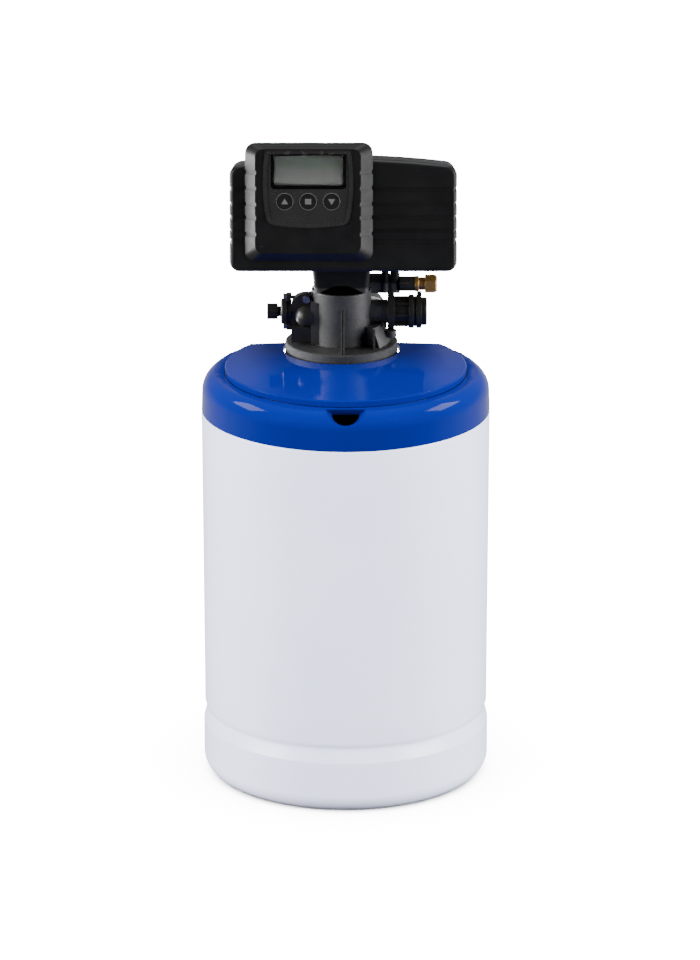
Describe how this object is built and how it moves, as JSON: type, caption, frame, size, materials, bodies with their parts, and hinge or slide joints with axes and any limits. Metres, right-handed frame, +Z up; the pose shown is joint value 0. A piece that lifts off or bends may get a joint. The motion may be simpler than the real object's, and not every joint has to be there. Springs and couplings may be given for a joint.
{
  "type": "water softener",
  "caption": "Cabinet water softener: round salt tank with a blue lid, a resin vessel inside, and a control valve under a leaning black head with a display and push buttons.",
  "frame": {"origin": "centre of the tank's base, on the floor", "axes": "+Z up, -Y the side with the display, +X to the right seen from the display side"},
  "size_m": [0.256, 0.256, 0.5798],
  "materials": {
    "tank_white": "satin moulded white",
    "blue_gloss": "high gloss blue",
    "cover_black": "satin near black",
    "black_gloss": "gloss black",
    "black_matte": "matt black",
    "valve_grey": "fine-textured dark grey, glass filled",
    "vessel_wrap": "wound glass fibre, satin",
    "resin_amber": "granular amber",
    "white_plastic": "satin white",
    "float_foam": "matt foam",
    "seal_rubber": "matt",
    "brass": "bright machined",
    "steel": "zinc plated",
    "clear_window": "clear polished",
    "lcd_grey": "grey liquid crystal",
    "board_green": "solder mask"
  },
  "bodies": {
    "cabinet": {"brine_tank": "tank_white", "tank_collar": "blue_gloss", "overflow_fitting": "white_plastic", "overflow_nut": "white_plastic", "pressure_vessel": "vessel_wrap", "vessel_boot": "black_matte", "resin_bed": "resin_amber", "riser_tube": "white_plastic", "bottom_strainer": "white_plastic", "top_strainer": "white_plastic", "brine_well": "white_plastic", "well_cap": "white_plastic", "intake_body": "white_plastic", "valve_body": "valve_grey", "neck_seal": "seal_rubber", "seal_cage": "white_plastic", "end_plug": "black_matte", "injector_body": "black_gloss", "injector_nozzle": "white_plastic", "injector_screws": "steel", "mixing_bonnet": "black_gloss", "drain_housing": "black_gloss", "drain_tube": "black_gloss", "drain_cap": "black_gloss", "flow_washer": "seal_rubber", "brine_valve_body": "valve_grey", "brine_sleeve": "black_gloss", "brine_fitting": "brass", "brine_nut": "brass", "inlet_tailpiece": "valve_grey", "outlet_tailpiece": "valve_grey", "port_clips": "white_plastic", "meter_carrier": "white_plastic", "head_frame": "black_matte", "head_cover": "cover_black", "rear_cover": "cover_black", "power_inlet": "black_matte", "display_bezel": "cover_black", "display_panel": "black_gloss", "lcd_window": "clear_window", "lcd_module": "lcd_grey", "circuit_board": "board_green", "drive_motor": "steel"},
    "lid": {"salt_lid": "blue_gloss"},
    "up_key": {"up_button": "black_gloss"},
    "set_key": {"set_button": "black_gloss"},
    "down_key": {"down_button": "black_gloss"},
    "knob": {"mixing_knob": "black_gloss"},
    "main_wheel": {"main_gear": "white_plastic"},
    "brine_wheel": {"brine_gear": "white_plastic"},
    "motor_wheel": {"motor_pinion": "white_plastic"},
    "spool": {"piston": "black_gloss", "piston_rod": "steel"},
    "brine_pin": {"brine_stem": "steel"},
    "meter_wheel": {"meter_turbine": "white_plastic"},
    "float": {"brine_float": "float_foam", "float_rod": "white_plastic"}
  },
  "joints": [
    {"name": "lid_hinge", "type": "hinge", "parent": "cabinet", "child": "lid", "pos_m": [0, 0.064, 0.3682], "axis": [-1, 0, 0], "range_deg": [0, 18]},
    {"name": "up_press", "type": "slide", "parent": "cabinet", "child": "up_key", "axis": [0, 0.9848, -0.1736], "range_m": [0, 0.001], "stiffness_N_per_m": 700, "springref_m": -0.0003},
    {"name": "set_press", "type": "slide", "parent": "cabinet", "child": "set_key", "axis": [0, 0.9848, -0.1736], "range_m": [0, 0.001], "stiffness_N_per_m": 700, "springref_m": -0.0003},
    {"name": "down_press", "type": "slide", "parent": "cabinet", "child": "down_key", "axis": [0, 0.9848, -0.1736], "range_m": [0, 0.001], "stiffness_N_per_m": 700, "springref_m": -0.0003},
    {"name": "mixing_turn", "type": "hinge", "parent": "cabinet", "child": "knob", "pos_m": [-0.065, 0.044, 0.4135], "axis": [-1, 0, 0], "range_deg": [0, 270]},
    {"name": "main_spin", "type": "hinge", "parent": "cabinet", "child": "main_wheel", "pos_m": [-0.0038, 0.0525, 0.512], "axis": [0, 1, 0], "continuous": true},
    {"name": "brine_spin", "type": "hinge", "parent": "cabinet", "child": "brine_wheel", "pos_m": [0.0437, 0.0525, 0.512], "axis": [0, 1, 0], "continuous": true},
    {"name": "motor_spin", "type": "hinge", "parent": "cabinet", "child": "motor_wheel", "pos_m": [-0.03755, 0.0525, 0.512], "axis": [0, 1, 0], "continuous": true},
    {"name": "piston_slide", "type": "slide", "parent": "cabinet", "child": "spool", "axis": [0, 0, 1], "range_m": [0, 0.02]},
    {"name": "brine_press", "type": "slide", "parent": "cabinet", "child": "brine_pin", "axis": [0, 0, -1], "range_m": [0, 0.0075], "stiffness_N_per_m": 300, "springref_m": -0.004},
    {"name": "meter_spin", "type": "hinge", "parent": "cabinet", "child": "meter_wheel", "pos_m": [0.0217, 0.076, 0.395], "axis": [0, 1, 0], "continuous": true},
    {"name": "float_rise", "type": "slide", "parent": "cabinet", "child": "float", "axis": [0, 0, 1], "range_m": [0, 0.014]}
  ],
  "couplings": [
    {"joint": "brine_spin", "follows": "main_spin", "ratio": -1},
    {"joint": "motor_spin", "follows": "main_spin", "ratio": -2.375}
  ]
}
